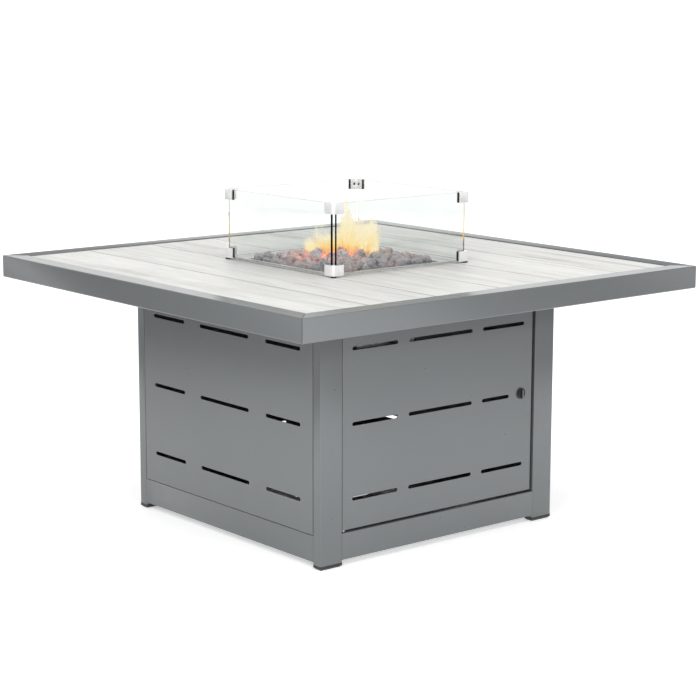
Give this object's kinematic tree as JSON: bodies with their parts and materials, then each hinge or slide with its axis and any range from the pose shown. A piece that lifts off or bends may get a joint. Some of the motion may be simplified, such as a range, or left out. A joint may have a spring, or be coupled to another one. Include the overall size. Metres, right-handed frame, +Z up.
{
  "type": "gas fire pit table",
  "caption": "Square gas fire pit table in satin grey metal with a pale wood-grain ceramic plank top, a drop-in burner under lava rocks, a clear glass wind guard and a hinged door for the gas bottle",
  "frame": {"origin": "centre of the base at floor level, under the foot caps", "axes": "+Z up, -Y towards the door, -X towards the left slotted panel; the ceramic planks run along Y"},
  "size_m": [1.2, 1.2, 0.802],
  "materials": {
    "grey_paint": "satin powder coat, fine grain",
    "black_plastic": "moulded, matt",
    "galvanised": "mill finish, hidden parts",
    "ceramic": "matt tile with a faint pale wood grain",
    "seal": "dark silicone bead",
    "backer": "cement board",
    "stainless": "brushed",
    "rock": "rough broken lava, grey and red brown",
    "glass": "clear toughened glass with ground edges",
    "clip_metal": "satin polished stainless steel",
    "liner": "black rubber",
    "brass": "plain machined",
    "pipe": "plain drawn tube",
    "nylon": "natural nylon",
    "latch_black": "semi gloss",
    "cast": "blackened steel bars",
    "porcelain": "white glazed sleeve"
  },
  "bodies": {
    "table": {"leg_front_left": "grey_paint", "leg_front_right": "grey_paint", "leg_back_left": "grey_paint", "leg_back_right": "grey_paint", "bottom_rail_front": "grey_paint", "bottom_rail_back": "grey_paint", "bottom_rail_left": "grey_paint", "bottom_rail_right": "grey_paint", "top_rail_front": "grey_paint", "top_rail_back": "grey_paint", "top_rail_left": "grey_paint", "top_rail_right": "grey_paint", "side_panel_left": "grey_paint", "side_panel_right": "grey_paint", "back_panel": "grey_paint", "rim_front": "grey_paint", "rim_back": "grey_paint", "rim_left": "grey_paint", "rim_right": "grey_paint", "foot_caps": "black_plastic", "igniter_body": "black_plastic", "floor_plate": "galvanised", "top_beams": "galvanised", "control_plate": "galvanised", "panel_rivets": "galvanised", "ceramic_plank_1": "ceramic", "ceramic_plank_2": "ceramic", "ceramic_plank_3": "ceramic", "ceramic_plank_4": "ceramic", "ceramic_plank_5": "ceramic", "ceramic_plank_6": "ceramic", "edge_seal": "seal", "tile_backer": "backer", "burner_pan": "stainless", "burner_ring": "stainless", "door_hinge_pins": "stainless", "rock_grate": "cast", "lava_rocks": "rock", "air_mixer": "brass", "gas_valve": "brass", "inlet_fitting": "brass", "gas_pipe": "pipe", "igniter_electrode": "porcelain"},
    "door": {"door": "grey_paint", "door_hinge_bushes": "nylon", "latch_housing": "latch_black", "latch_nut": "clip_metal"},
    "latch": {"latch_knob": "clip_metal", "latch_cam": "clip_metal"},
    "knob": {"control_knob": "black_plastic"},
    "button": {"igniter_button": "clip_metal"},
    "guard": {"glass_front": "glass", "glass_back": "glass", "glass_left": "glass", "glass_right": "glass", "guard_clips_lower": "clip_metal", "guard_clips_upper": "clip_metal", "guard_clip_liners": "liner", "guard_set_screws": "clip_metal", "guard_feet": "liner"}
  },
  "joints": [
    {"name": "door_hinge", "type": "hinge", "parent": "table", "child": "door", "pos_m": [-0.2896, -0.3515, 0.3], "axis": [0, 0, -1], "range_deg": [0, 100]},
    {"name": "latch_turn", "type": "hinge", "parent": "door", "child": "latch", "pos_m": [0.257, -0.35, 0.32602], "axis": [0, -1, 0], "range_deg": [0, 90]},
    {"name": "gas_control", "type": "hinge", "parent": "table", "child": "knob", "pos_m": [-0.19, -0.34, 0.515], "axis": [0, -1, 0], "range_deg": [-90, 0]},
    {"name": "igniter_push", "type": "slide", "parent": "table", "child": "button", "axis": [0, 1, 0], "range_m": [0, 0.005], "stiffness_N_per_m": 300},
    {"name": "guard_lift", "type": "slide", "parent": "table", "child": "guard", "axis": [0, 0, 1], "range_m": [0, 0.2]}
  ]
}
